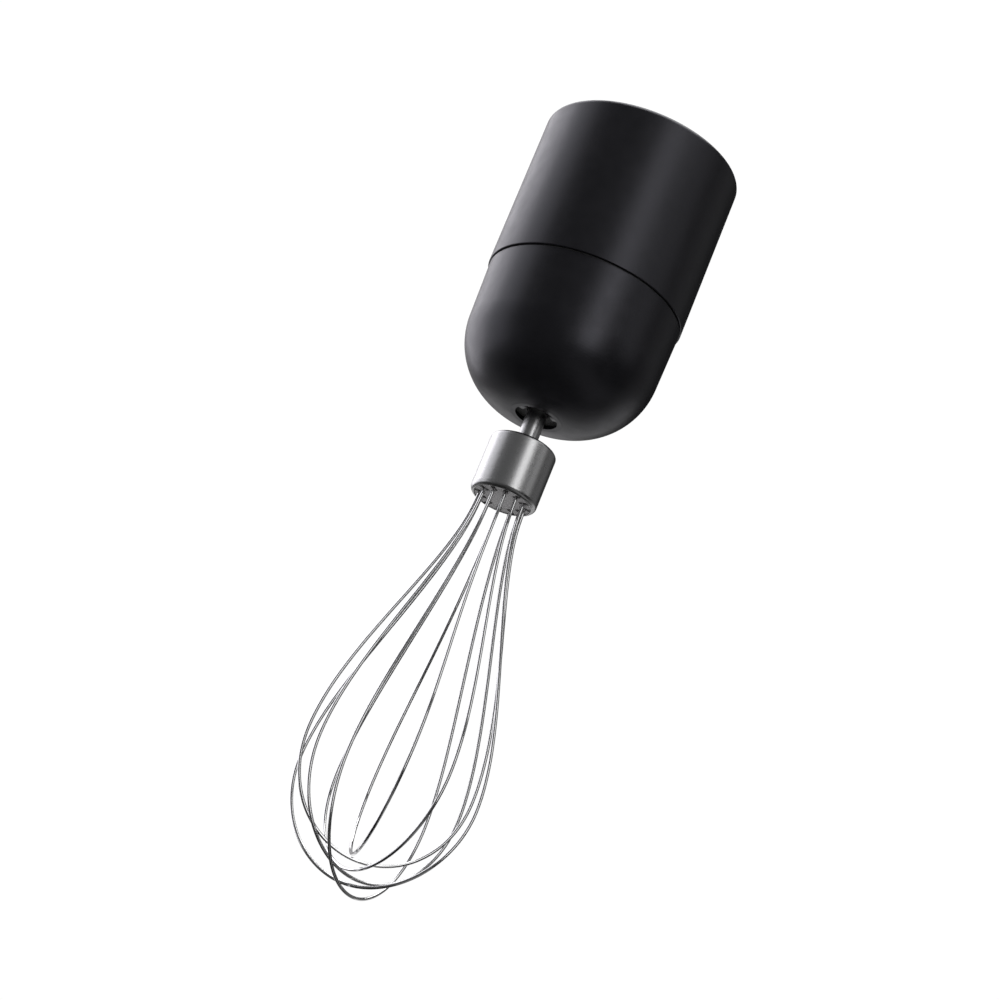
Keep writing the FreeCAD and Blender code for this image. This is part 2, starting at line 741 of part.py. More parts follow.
def sun_gear():
    """The input shaft with the sun gear cut on its lower end."""
    body = new_body("sun_gear")
    bind(body, "Placement.Base.z", -D.sun_top_depth)
    tip = D.gear_module * (D.sun_teeth / 2 + ADDENDUM)
    root = D.gear_module * (D.sun_teeth / 2 - DEDENDUM)
    turned(body, "gear_blank", [(0, 0), (tip, 0), (tip, -D.sun_width), (0, -D.sun_width)])
    teeth = int(D.sun_teeth.value)
    points = tooth_space(teeth, root.value, tip.value + TOOTH_OVERRUN, False, math.pi / teeth)
    cut_teeth(body, D.sun_teeth, points, D.sun_width)
    shaft_top = D.sun_top_depth - D.input_shaft_top_depth
    turned(body, "shaft", [
        (0, shaft_top), (D.input_shaft_radius, shaft_top), (D.input_shaft_radius, -OVERRUN), (0, -OVERRUN)])
    groove_bottom = D.sun_top_depth - D.input_clip_depth - D.clip_thickness
    groove_radius = D.input_shaft_radius - D.clip_groove
    turned(body, "clip_groove", [
        (groove_radius, groove_bottom),
        (D.input_shaft_radius + OVERRUN, groove_bottom),
        (D.input_shaft_radius + OVERRUN, groove_bottom + D.clip_thickness),
        (groove_radius, groove_bottom + D.clip_thickness),
    ], cut=True)


def drive_coupling():
    """The moulded socket on top of the input shaft that the motor's hexagonal driver enters."""
    body = new_body("drive_coupling")
    flange_top = D.coupling_bottom_depth - D.coupling_flange_thickness
    turned(body, "coupling", [
        (0, -D.coupling_top_depth),
        (D.coupling_radius, -D.coupling_top_depth),
        (D.coupling_radius, -flange_top),
        (D.coupling_flange_radius, -flange_top),
        (D.coupling_flange_radius, -D.coupling_bottom_depth),
        (D.input_shaft_radius, -D.coupling_bottom_depth),
        (D.input_shaft_radius, -D.input_shaft_top_depth),
        (0, -D.input_shaft_top_depth),
    ])
    recess_sketch = new_sketch(body, "recess_outline", "XY_Plane", -D.coupling_top_depth)
    add_hexagon(recess_sketch, D.coupling_recess_flats)
    raised(body, "driver_recess", recess_sketch, D.coupling_recess_depth, cut=True)
    flute_sketch = new_sketch(body, "flute_outline", "XY_Plane", -D.coupling_top_depth)
    add_circle(flute_sketch, D.coupling_flute_circle, 0, D.coupling_flute_radius)
    flute_length = flange_top - D.coupling_top_depth - D.coupling_flute_stop
    flute = raised(body, "flute", flute_sketch, flute_length, cut=True)
    repeated(body, "flutes", flute, D.coupling_flute_count)


def retaining_clip(label, groove_radius, outer_radius, top_depth):
    """A flat open ring that snaps into a shaft's groove."""
    body = new_body(label)
    turned(body, "clip", ring_outline(groove_radius, outer_radius, top_depth, top_depth + D.clip_thickness))
    sketch = new_sketch(body, "opening_outline", "XY_Plane", -top_depth + OVERRUN)
    add_outline(sketch, box_outline(0, as_size(outer_radius) + OVERRUN, D.clip_opening))
    raised(body, "opening", sketch, D.clip_thickness + OVERRUN * 2, cut=True)


# ---------------------------------------------------------------- planet carrier


def planet_axis(index):
    """The x and y of a planet's axis, and its angle in degrees."""
    angle = 90 + 360 * index / D.planet_count.value
    across = D.gear_module * (D.sun_teeth + D.planet_teeth) / 2
    x = across * round(math.cos(math.radians(angle)), 9)
    y = across * round(math.sin(math.radians(angle)), 9)
    return x, y, angle


def planet_carrier():
    """The carrier's lower disc and the hollow spindle that drives the whisk."""
    body = new_body("planet_carrier")
    bore = D.whisk_shaft_radius + D.spindle_bore_clearance
    hex_top = D.whisk_shaft_top_depth - OVERRUN
    clip_groove = D.spindle_radius - D.clip_groove
    turned(body, "carrier_and_spindle", [
        (0, -D.carrier_top_depth),
        (D.carrier_radius, -D.carrier_top_depth),
        (D.carrier_radius, -D.carrier_bottom_depth),
        (D.spindle_radius, -D.carrier_bottom_depth),
        (D.spindle_radius, -D.spindle_clip_depth),
        (clip_groove, -D.spindle_clip_depth),
        (clip_groove, -D.spindle_clip_depth - D.clip_thickness),
        (D.spindle_radius, -D.spindle_clip_depth - D.clip_thickness),
        (D.spindle_radius, -D.spindle_end_depth),
        (bore, -D.spindle_end_depth),
        (bore, -D.snap_groove_depth - D.snap_groove_width),
        (D.snap_groove_radius, -D.snap_groove_depth - D.snap_groove_width),
        (D.snap_groove_radius, -D.snap_groove_depth),
        (bore, -D.snap_groove_depth),
        (bore, -D.hex_end_depth),
        (0, -D.hex_end_depth),
    ])
    hex_sketch = new_sketch(body, "hex_outline", "XY_Plane", -hex_top)
    add_hexagon(hex_sketch, D.hex_flats + D.hex_clearance * 2)
    raised(body, "hex_socket", hex_sketch, D.hex_end_depth - hex_top + OVERRUN, cut=True)
    x, y, _ = planet_axis(0)
    pin_sketch = new_sketch(body, "pin_hole_outline", "XY_Plane", -D.carrier_top_depth)
    add_circle(pin_sketch, x, y, D.pin_radius)
    hole_length = D.carrier_bottom_depth - D.carrier_top_depth + OVERRUN
    hole = raised(body, "pin_hole", pin_sketch, hole_length, cut=True)
    repeated(body, "pin_holes", hole, D.planet_count)


def carrier_plate():
    """The carrier's upper ring, held by the planet pins."""
    body = new_body("carrier_plate")
    bottom = D.carrier_plate_top_depth + D.carrier_plate_thickness
    turned(body, "plate", ring_outline(
        D.carrier_plate_hole_radius, D.carrier_radius, D.carrier_plate_top_depth, bottom))
    x, y, _ = planet_axis(0)
    sketch = new_sketch(body, "pin_hole_outline", "XY_Plane", -D.carrier_plate_top_depth)
    add_circle(sketch, x, y, D.pin_radius)
    hole = raised(body, "pin_hole", sketch, D.carrier_plate_thickness + OVERRUN, cut=True)
    repeated(body, "pin_holes", hole, D.planet_count)


def planet_pins():
    """The three steel pins that the planets turn on, drawn as one group of equal solids."""
    body = new_body("planet_pins", compound=True)
    x, y, _ = planet_axis(0)
    sketch = new_sketch(body, "pin_outline", "XY_Plane", -D.carrier_plate_top_depth)
    add_circle(sketch, x, y, D.pin_radius)
    pin = raised(body, "pin", sketch, D.carrier_bottom_depth - D.carrier_plate_top_depth)
    repeated(body, "pins", pin, D.planet_count)


def snap_ring():
    """The spring ring in the spindle's bore that holds the whisk's shaft by its notch, drawn opened."""
    body = new_body("snap_ring")
    inner = D.whisk_shaft_radius + D.spindle_bore_clearance
    outer = D.snap_groove_radius - D.loose_clearance
    top = D.snap_groove_depth + D.loose_clearance
    bottom = D.snap_groove_depth + D.snap_groove_width - D.loose_clearance
    turned(body, "spring", ring_outline(inner, outer, top, bottom))
    sketch = new_sketch(body, "opening_outline", "XY_Plane", -D.snap_groove_depth)
    add_outline(sketch, box_outline(0, D.snap_groove_radius + OVERRUN, D.clip_opening / 2))
    raised(body, "opening", sketch, D.snap_groove_width + OVERRUN, cut=True)


def planet_gear(index):
    """One planet. It is drawn on its own axis, a tooth space facing the ring gear, and placed on its pin."""
    body = new_body(f"planet_gear_{index + 1}")
    tip = D.gear_module * (D.planet_teeth / 2 + ADDENDUM)
    root = D.gear_module * (D.planet_teeth / 2 - DEDENDUM)
    bore = D.pin_radius + D.running_clearance
    turned(body, "gear_blank", [(bore, 0), (tip, 0), (tip, -D.planet_width), (bore, -D.planet_width)])
    points = tooth_space(int(D.planet_teeth.value), root.value, tip.value + TOOTH_OVERRUN, False, 0.0)
    cut_teeth(body, D.planet_teeth, points, D.planet_width)
    x, y, angle = planet_axis(index)
    body.Placement = Placement(Vector(), Rotation(Vector(0, 0, 1), angle))
    bind(body, "Placement.Base.x", x)
    bind(body, "Placement.Base.y", y)
    bind(body, "Placement.Base.z", -D.planet_top_depth)


# ---------------------------------------------------------------- whisk


def whisk_shaft():
    """The steel shaft: hexagonal end, notch for the snap ring, and a head riveted inside the holder."""
    body = new_body("whisk_shaft")
    notch_end = D.snap_groove_depth + D.snap_groove_width
    turned(body, "rod", [
        (0, -D.hex_end_depth),
        (D.whisk_shaft_radius, -D.hex_end_depth),
        (D.whisk_shaft_radius, -D.snap_groove_depth),
        (D.snap_notch_radius, -D.snap_groove_depth - D.snap_notch_bevel),
        (D.snap_notch_radius, -notch_end + D.snap_notch_bevel),
        (D.whisk_shaft_radius, -notch_end),
        (D.whisk_shaft_radius, -D.shaft_end_depth + D.shaft_head_thickness),
        (D.shaft_head_radius, -D.shaft_end_depth + D.shaft_head_thickness),
        (D.shaft_head_radius, -D.shaft_end_depth),
        (0, -D.shaft_end_depth),
    ])
    sketch = new_sketch(body, "hex_outline", "XY_Plane", -D.hex_end_depth - OVERRUN)
    add_hexagon(sketch, D.hex_flats)
    raised(body, "hex_end", sketch, D.hex_end_depth - D.whisk_shaft_top_depth + OVERRUN, downward=False)


def ferrule():
    """The drawn steel cup round the wires' ends, its mouth rolled inward."""
    body = new_body("ferrule")
    blank = turned(body, "cup_blank", ring_outline(
        D.whisk_shaft_radius, D.ferrule_radius, D.ferrule_top_depth, D.ferrule_end_depth))
    top = rounded(body, "top_rounding", blank, D.ferrule_top_rounding,
                  circle_at(D.ferrule_radius, -D.ferrule_top_depth))
    rounded(body, "end_rounding", top, D.ferrule_end_rounding,
            circle_at(D.ferrule_radius, -D.ferrule_end_depth))
    inside = D.ferrule_radius - D.ferrule_wall
    roll = D.ferrule_end_depth - D.ferrule_end_rounding
    turned(body, "cup_inside", [
        (0, -D.ferrule_top_depth - D.ferrule_wall),
        (inside, -D.ferrule_top_depth - D.ferrule_wall),
        (inside, -roll),
        (D.ferrule_mouth_radius, -roll - D.ferrule_wall),
        (D.ferrule_mouth_radius, -D.ferrule_end_depth - OVERRUN),
        (0, -D.ferrule_end_depth - OVERRUN),
    ], cut=True)


def wire_holder():
    """The plastic plug that fills the ferrule, with a slot and a hole for each wire end."""
    body = new_body("wire_holder")
    top = D.ferrule_top_depth + D.ferrule_wall
    outer = D.ferrule_radius - D.ferrule_wall
    roll = D.ferrule_end_depth - D.ferrule_end_rounding
    head_top = D.shaft_end_depth - D.shaft_head_thickness
    turned(body, "plug", [
        (D.whisk_shaft_radius, -top),
        (outer, -top),
        (outer, -roll),
        (D.ferrule_mouth_radius, -roll - D.ferrule_wall),
        (D.ferrule_mouth_radius, -D.holder_end_depth),
        (0, -D.holder_end_depth),
        (0, -D.shaft_end_depth),
        (D.shaft_head_radius, -D.shaft_end_depth),
        (D.shaft_head_radius, -head_top),
        (D.whisk_shaft_radius, -head_top),
    ])
    slot_sketch = new_sketch(body, "slot_outline", "XY_Plane", -D.holder_end_depth - OVERRUN)
    add_outline(slot_sketch, box_outline(D.slot_inner_radius, D.slot_outer_radius, D.slot_width))
    slot = raised(body, "slot", slot_sketch, D.slot_depth + OVERRUN, cut=True, downward=False)
    repeated(body, "slots", slot, D.slot_count)
    hole_sketch = new_sketch(body, "hole_outline", "XY_Plane", -D.holder_end_depth - OVERRUN)
    add_circle(hole_sketch, D.wire_circle_radius, 0, D.wire_diameter / 2)
    hole_length = D.holder_end_depth - D.wire_top_depth + OVERRUN
    hole = raised(body, "wire_hole", hole_sketch, hole_length, cut=True, downward=False)
    repeated(body, "wire_holes", hole, D.slot_count)


def bezier(start, pull_start, pull_end, end, count):
    """Points along a cubic curve in (depth, radius), leaving its first one out."""
    found = []
    for i in range(1, count + 1):
        t = i / count
        weights = ((1 - t) ** 3, 3 * t * (1 - t) ** 2, 3 * t * t * (1 - t), t ** 3)
        corners = (start, pull_start, pull_end, end)
        found.append(tuple(sum(w * c[axis] for w, c in zip(weights, corners)) for axis in (0, 1)))
    return found


def half_loop(reach, tip_depth):
    """One leg in (depth, radius), from its end in the holder to the loop's tip on the axis."""
    mouth = D.ferrule_end_depth.value
    radius = D.wire_circle_radius.value
    lean = math.radians(D.leg_lean.value)
    widest = mouth + D.widest_fraction.value * (tip_depth - mouth)
    pull = D.leg_start_pull.value
    leg_pull = (mouth + pull * math.cos(lean), radius + pull * math.sin(lean))
    shoulder_pull = (widest - D.leg_end_pull.value, reach)
    leg = bezier((mouth, radius), leg_pull, shoulder_pull, (widest, reach), LEG_POINTS)
    side_pull = (widest + D.crown_side_pull.value, reach)
    tip_pull = (tip_depth, D.crown_tip_pull.value)
    crown = bezier((widest, reach), side_pull, tip_pull, (tip_depth, 0.0), CROWN_POINTS)
    return [(D.wire_top_depth.value, radius), (mouth, radius)] + leg + crown, widest


def loop_points(slot, twist, reach, tip_depth, sway_along, sway_across):
    """The loop's corners in space: its plane turns from the slots' angle to the crown's on the way down, and
    the crown leans a little off the axis, along the loop's plane and across it."""
    half, widest = half_loop(reach, tip_depth)
    mouth = D.ferrule_end_depth.value
    plane = math.radians(slot + twist)
    sway = Vector(math.cos(plane), math.sin(plane), 0) * sway_along
    sway += Vector(-math.sin(plane), math.cos(plane), 0) * sway_across
    points = []
    for side, leg in ((1, half), (-1, half[-2::-1])):
        for depth, radius in leg:
            share = min(1.0, max(0.0, (depth - mouth) / (widest - mouth)))
            angle = math.radians(slot + twist * share * share * (3 - 2 * share))
            lean = max(0.0, (depth - mouth) / (tip_depth - mouth)) ** SWAY_POWER
            corner = Vector(side * radius * math.cos(angle), side * radius * math.sin(angle), -depth)
            points.append(corner + sway * lean)
    return points


def rounded_path(points):
    """Straight runs joined by tangent arcs, each arc as large as its two runs allow."""
    edges = []
    last = points[0]
    for before, corner, after in zip(points, points[1:], points[2:]):
        back = (before - corner).normalize()
        onward = (after - corner).normalize()
        turn = math.pi - back.getAngle(onward)
        cut = ARC_SHARE * min((before - corner).Length, (after - corner).Length)
        radius = cut / math.tan(turn / 2)
        middle = corner + (back + onward).normalize() * (radius / math.cos(turn / 2) - radius)
        start, end = corner + back * cut, corner + onward * cut
        edges.append(Part.LineSegment(last, start).toShape())
        edges.append(Part.Arc(start, middle, end).toShape())
        last = end
    edges.append(Part.LineSegment(last, points[-1]).toShape())
    return Part.Wire(edges)


def whisk_wire(number):
    """One loop: a round section swept along a path that no flat sketch can hold."""
    names = ("slot", "twist", "reach", "tip_depth", "sway_along", "sway_across")
    points = loop_points(*(getattr(D, f"wire_{number}_{name}").value for name in names))
    path = doc.addObject("Part::Feature", f"wire_{number}_path")
    path.Shape = rounded_path(points)
    section = doc.addObject("Part::Circle", f"wire_{number}_section")
    section.Placement = Placement(points[0], Rotation())
    bind(section, "Radius", D.wire_diameter / 2)
    label = f"whisk_wire_{number}"
    sweep = doc.addObject("Part::Sweep", label)
    sweep.Label = label
    sweep.Sections = [section]
    sweep.Spine = (path, [f"Edge{i + 1}" for i in range(len(path.Shape.Edges))])
    sweep.Solid = True
    sweep.Frenet = False
    subparts.append(sweep)


# ---------------------------------------------------------------- checks and export

CUTS = ("PartDesign::Pocket", "PartDesign::Groove")


def check_document():
    """Stops on a failed object, an empty or broken shape, or a cut that removed nothing."""
    for thing in doc.Objects:
        if {"Invalid", "Error"} & set(thing.State):
            raise RuntimeError(f"{thing.Label} did not compute: {thing.State}")
        if thing.TypeId in CUTS and thing.Shape.Volume >= thing.BaseFeature.Shape.Volume - 1e-6:
            raise RuntimeError(f"{thing.Label} in {thing.getParent()} cuts nothing")
    for part in subparts:
        if part.Shape.isNull() or not part.Shape.isValid() or not part.Shape.Solids:
            raise RuntimeError(f"{part.Label} has no valid solid")


def export_parts():
    os.makedirs("parts", exist_ok=True)
    for part in subparts:
        part.Shape.exportStep(os.path.join("parts", part.Label + ".step"))
        box = part.Shape.BoundBox
        print(f"{part.Label:18s} solids {len(part.Shape.Solids)} volume {part.Shape.Volume:9.1f} mm3 "
              f"z {box.ZMin:8.2f} to {box.ZMax:8.2f}")


def main():
    coupling_collar()
    gearbox_dome()
    seam_gasket()
    gearbox_cover()
    cover_screws()
    ring_gear()
    input_bush()
    input_seal()
    output_bush()
    thrust_washer()
    nose_seal()
    sun_gear()
    drive_coupling()
    retaining_clip("input_clip", D.input_shaft_radius - D.clip_groove,
                   D.input_shaft_radius + D.clip_height, D.input_clip_depth)
    planet_carrier()
    carrier_plate()
    planet_pins()
    retaining_clip("spindle_clip", D.spindle_radius - D.clip_groove,
                   D.spindle_radius + D.spindle_clip_height, D.spindle_clip_depth)
    snap_ring()
    for index in range(int(D.planet_count.value)):
        planet_gear(index)
    whisk_shaft()
    ferrule()
    wire_holder()
    for number in range(1, WIRE_COUNT + 1):
        whisk_wire(number)
    doc.recompute()
    check_document()
    export_parts()


main()
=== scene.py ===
import json
import math

import bmesh
import bpy
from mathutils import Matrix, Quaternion, Vector


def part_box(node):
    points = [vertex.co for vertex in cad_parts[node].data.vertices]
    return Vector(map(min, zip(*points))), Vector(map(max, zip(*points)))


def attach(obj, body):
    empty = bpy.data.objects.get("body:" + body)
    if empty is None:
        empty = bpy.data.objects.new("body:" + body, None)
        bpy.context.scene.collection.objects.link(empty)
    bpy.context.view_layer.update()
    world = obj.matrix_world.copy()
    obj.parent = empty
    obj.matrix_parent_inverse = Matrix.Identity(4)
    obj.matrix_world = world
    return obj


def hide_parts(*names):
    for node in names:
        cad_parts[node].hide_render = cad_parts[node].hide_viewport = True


# Whisk attachment of a hand mixer. The collar, dome, gasket, ferrule, holder, shaft and wires are fine
# meshes that stand for their CAD nodes; the sealed gearbox keeps its CAD nodes and gets finished materials.

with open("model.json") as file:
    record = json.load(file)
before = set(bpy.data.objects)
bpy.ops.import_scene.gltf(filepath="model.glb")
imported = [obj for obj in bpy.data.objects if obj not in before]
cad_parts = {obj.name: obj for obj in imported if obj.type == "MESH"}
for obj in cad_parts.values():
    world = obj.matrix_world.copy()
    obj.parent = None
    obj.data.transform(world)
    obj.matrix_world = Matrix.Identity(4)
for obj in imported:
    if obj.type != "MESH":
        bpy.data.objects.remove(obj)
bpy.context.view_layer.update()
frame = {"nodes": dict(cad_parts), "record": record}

MM = 0.001

# ---------------------------------------------------------------- sizes, in metres

collar_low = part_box("coupling_collar")[0]
dome_low, dome_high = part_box("gearbox_dome")
ferrule_low, ferrule_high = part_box("ferrule")
holder_low, holder_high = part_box("wire_holder")
shaft_low, shaft_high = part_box("whisk_shaft")
gasket_low, gasket_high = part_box("seam_gasket")

RIM_RADIUS = -collar_low.x
COLLAR_RADIUS = 31.0 * MM
RIM_ROUNDING = 1.6 * MM
RIM_INNER_ROUNDING = 0.4 * MM
PILOT_RADIUS = 28.4 * MM
PILOT_DEPTH = 10.6 * MM
SOCKET_RADIUS = 28.0 * MM
SOCKET_DEPTH = 30.0 * MM
FLOOR_THICKNESS = 2.5 * MM
SEAL_RADIUS = 6.5 * MM
SEAL_BOSS_RADIUS = 9.5 * MM
SEAL_BOSS_DEPTH = 34.5 * MM
COLLAR_INNER_RADIUS = 28.6 * MM
SKIRT_INNER_RADIUS = 29.45 * MM
SKIRT_TOP_DEPTH = 46.5 * MM
SEAM_EDGE = 0.22 * MM
SOCKET_FILLET = 1.0 * MM
GUIDE_RIB = (2.0 * MM, 1.0 * MM, 18.0 * MM)  # width, height, length
GUIDE_RIB_COUNT = 3
GUIDE_RIB_EDGE = 0.25 * MM
BAYONET_LUG = (9.0 * MM, 1.4 * MM, 3.0 * MM)  # width, height, thickness
BAYONET_LUG_COUNT = 2
BAYONET_LUG_EDGE = 0.3 * MM
LUG_DEPTH = 12.0 * MM

DOME_RADIUS = 30.55 * MM
DOME_FOOT_RADIUS = 29.26 * MM
DOME_SHOULDER = 23.4 * MM
DOME_WALL = 2.4 * MM
SPIGOT_RADIUS = 29.35 * MM
SPIGOT_INNER_RADIUS = 28.0 * MM
BEARING_BORE_RADIUS = 8.0 * MM
SEAL_SEAT_DEPTH = 92.2 * MM
NOSE_RADIUS = 7.4 * MM
NOSE_ROUNDING = 0.7 * MM
NOSE_TAB = (3.0 * MM, 4.7 * MM)  # width, distance of its tip from the axis
NOSE_TAB_COUNT = 3
NOSE_TAB_EDGE = 0.3 * MM
JOIN_DEPTH = 0.6 * MM
CASING_SEGMENTS = 192

FERRULE_WALL = 0.6 * MM
FERRULE_TOP_ROUNDING = 1.07 * MM
FERRULE_END_ROUNDING = 1.68 * MM
FERRULE_MOUTH_RADIUS = 8.9 * MM
FERRULE_NECK_ROUNDING = 0.25 * MM
FERRULE_LIP_ROUNDING = 0.15 * MM
FERRULE_LIP_LIFT = 0.07 * MM
FERRULE_SEGMENTS = 128
SHAFT_RADIUS = 3.1 * MM
HEX_END_DEPTH = 80.0 * MM
HEX_FLATS = 5.3 * MM
HEX_CHAMFER = 0.5 * MM
NOTCH = (84.0 * MM, 85.6 * MM, 2.6 * MM, 0.3 * MM)  # top, end, radius, bevel
SHAFT_HEAD_RADIUS = 4.6 * MM
SHAFT_HEAD_THICKNESS = 2.0 * MM
SHAFT_SEGMENTS = 96
SLOT_RADII = (5.5 * MM, 9.1 * MM)
SLOT_WIDTH = 1.5 * MM
SLOT_DEPTH = 1.8 * MM
SLOT_EDGE = 0.2 * MM
SLOT_COUNT = 12
HOLDER_EDGE = 0.3 * MM
HOLDER_SEGMENTS = 120

WIRE_RADIUS = 0.5 * MM
WIRE_CIRCLE_RADIUS = 6.93 * MM
WIRE_TOP_DEPTH = 110.5 * MM
LEG_LEAN = math.radians(-3.9)
LEG_START_PULL = 20.6 * MM
LEG_END_PULL = 26.7 * MM
CROWN_SIDE_PULL = 18.4 * MM
CROWN_TIP_PULL = 13.6 * MM
WIDEST_FRACTION = 0.743
LEG_POINTS = 7
CROWN_POINTS = 6
SWAY_POWER = 1.5
# each loop: slot and twist in degrees; reach, tip depth and the crown's sway along and across it in mm
LOOPS = (
    (60.0, -7.0, 23.8, 248.9, 1.1, -0.9),
    (-30.0, 11.0, 27.7, 246.5, 0.5, 0.35),
    (30.0, -0.5, 26.4, 244.3, 0.45, -0.5),
    (-60.0, 2.5, 27.8, 241.9, 0.0, 0.8),
    (0.0, 13.0, 26.4, 239.4, -1.3, -0.3),
    (-90.0, 7.5, 26.9, 237.0, -0.25, -0.5),
)

# ---------------------------------------------------------------- mesh building

SHARP_ANGLE = 35.0


def finish_mesh(name, bm, sharp_angle=SHARP_ANGLE):
    """Turns a bmesh into a smooth-shaded object whose corners stay crisp."""
    bmesh.ops.remove_doubles(bm, verts=bm.verts, dist=1e-7)
    bmesh.ops.recalc_face_normals(bm, faces=bm.faces)
    mesh = bpy.data.meshes.new(name)
    bm.to_mesh(mesh)
    bm.free()
    mesh.shade_smooth()
    mesh.set_sharp_from_angle(angle=math.radians(sharp_angle))
    thing = bpy.data.objects.new(name, mesh)
    bpy.context.scene.collection.objects.link(thing)
    return thing


def arc(centre, radius, start, end, steps=6):
    """Points of an arc in (radius, height), angles in degrees from straight outward."""
    angles = [math.radians(start + (end - start) * i / steps) for i in range(steps + 1)]
    return [(centre[0] + radius * math.cos(a), centre[1] + radius * math.sin(a)) for a in angles]


def supported(outline, longest=4 * MM, margin=0.12 * MM):
    """Adds points beside the corners of long runs, so that smooth shading stays level along them."""
    points = []
    for start, end in zip(outline, outline[1:] + outline[:1]):
        points.append(start)
        length = math.dist(start, end)
        if length < 4 * margin:
            continue
        parts = max(1, math.ceil(length / longest))
        shares = [margin / length] + [i / parts for i in range(1, parts)] + [1 - margin / length]
        points += [tuple(a + (b - a) * share for a, b in zip(start, end)) for share in shares]
    return points


def lathe(name, outline, segments, ring=True):
    """Revolves an outline of (radius, height): a closed one for a ring, else one that ends on the axis."""
    bm = bmesh.new()
    if ring:
        outline = supported(outline)
    rings = []
    for radius, height in outline:
        if radius < 1e-9:
            rings.append([bm.verts.new((0, 0, height))])
            continue
        turns = [math.tau * i / segments for i in range(segments)]
        rings.append([bm.verts.new((radius * math.cos(t), radius * math.sin(t), height)) for t in turns])
    pairs = list(zip(rings, rings[1:] + rings[:1])) if ring else list(zip(rings, rings[1:]))
    for one, other in pairs:
        for i in range(segments):
            after = (i + 1) % segments
            corners = [one[i % len(one)], one[after % len(one)]]
            corners += [other[after % len(other)], other[i % len(other)]]
            face = list(dict.fromkeys(corners))
            if len(face) > 2:
                bm.faces.new(face)
    return finish_mesh(name, bm)


def block(name, low, high, edge):
    """A block with rounded edges, for joining to or cutting from a turned piece."""
    bm = bmesh.new()
    bmesh.ops.create_cube(bm, size=1.0)
    size = [b - a for a, b in zip(low, high)]
    centre = [(a + b) / 2 for a, b in zip(low, high)]
    bmesh.ops.scale(bm, vec=size, verts=bm.verts)
    bmesh.ops.translate(bm, vec=centre, verts=bm.verts)
    bmesh.ops.bevel(bm, geom=bm.edges[:], offset=edge, segments=2, affect="EDGES", profile=0.5)
    return finish_mesh(name, bm)


def turned_copies(tool, count, first=0.0):
    """Copies of an object turned evenly round the axis, the first at an angle in degrees."""
    copies = []
    for i in range(count):
        copy = bpy.data.objects.new(f"{tool.name}_{i}", tool.data)
        copy.rotation_euler = (0, 0, math.radians(first) + math.tau * i / count)
        bpy.context.scene.collection.objects.link(copy)
        copies.append(copy)
    return copies


def combine(piece, tools, operation):
    """Joins tools to a piece, or cuts them from it, and keeps only the result."""
    for tool in tools:
        step = piece.modifiers.new("combine", "BOOLEAN")
        step.operation = operation
        step.solver = "EXACT"
        step.object = tool
    bpy.context.view_layer.update()
    result = bpy.data.meshes.new_from_object(piece.evaluated_get(bpy.context.evaluated_depsgraph_get()))
    piece.modifiers.clear()
    result.name = piece.name
    piece.data = result
    result.shade_smooth()
    result.set_sharp_from_angle(angle=math.radians(SHARP_ANGLE))
    for tool in tools:
        bpy.data.objects.remove(tool)
    return piece


# ---------------------------------------------------------------- housing


def collar():
    """The open socket: rounded rim, pilot bore, ribs, bayonet lugs, and a skirt over the dome's spigot."""
    seam = collar_low.z
    floor = -SOCKET_DEPTH
    floor_bottom = floor - FLOOR_THICKNESS
    rim_centre = (RIM_RADIUS - RIM_ROUNDING, -RIM_ROUNDING)
    lip_centre = (PILOT_RADIUS + RIM_INNER_ROUNDING, -RIM_INNER_ROUNDING)
    seam_centre = (COLLAR_RADIUS - SEAM_EDGE, seam + SEAM_EDGE)
    outline = arc(lip_centre, RIM_INNER_ROUNDING, 180, 90, 4)
    outline += arc(rim_centre, RIM_ROUNDING, 90, 0, 10)
    outline += arc(seam_centre, SEAM_EDGE, 0, -90, 4)
    outline += [
        (SKIRT_INNER_RADIUS, seam),
        (SKIRT_INNER_RADIUS, -SKIRT_TOP_DEPTH),
        (COLLAR_INNER_RADIUS, -SKIRT_TOP_DEPTH),
        (COLLAR_INNER_RADIUS, floor_bottom),
        (SEAL_BOSS_RADIUS, floor_bottom),
        (SEAL_BOSS_RADIUS, -SEAL_BOSS_DEPTH),
        (SEAL_RADIUS, -SEAL_BOSS_DEPTH),
        (SEAL_RADIUS, floor),
    ]
    outline += arc((SOCKET_RADIUS - SOCKET_FILLET, floor + SOCKET_FILLET), SOCKET_FILLET, -90, 0, 5)
    outline += [(SOCKET_RADIUS, -PILOT_DEPTH), (PILOT_RADIUS, -PILOT_DEPTH)]
    piece = lathe("coupling_collar_shell", outline, CASING_SEGMENTS)
    width, height, length = GUIDE_RIB
    rib = block("guide_rib", (SOCKET_RADIUS - height, -width / 2, floor - JOIN_DEPTH),
                (SOCKET_RADIUS + JOIN_DEPTH, width / 2, floor - JOIN_DEPTH + length), GUIDE_RIB_EDGE)
    width, height, thickness = BAYONET_LUG
    lug = block("bayonet_lug", (SOCKET_RADIUS - height, -width / 2, -LUG_DEPTH - thickness),
                (SOCKET_RADIUS + JOIN_DEPTH, width / 2, -LUG_DEPTH), BAYONET_LUG_EDGE)
    tools = turned_copies(rib, GUIDE_RIB_COUNT) + turned_copies(lug, BAYONET_LUG_COUNT, 90.0)
    combine(piece, tools, "UNION")
    for tool in (rib, lug):
        bpy.data.objects.remove(tool)
    return piece


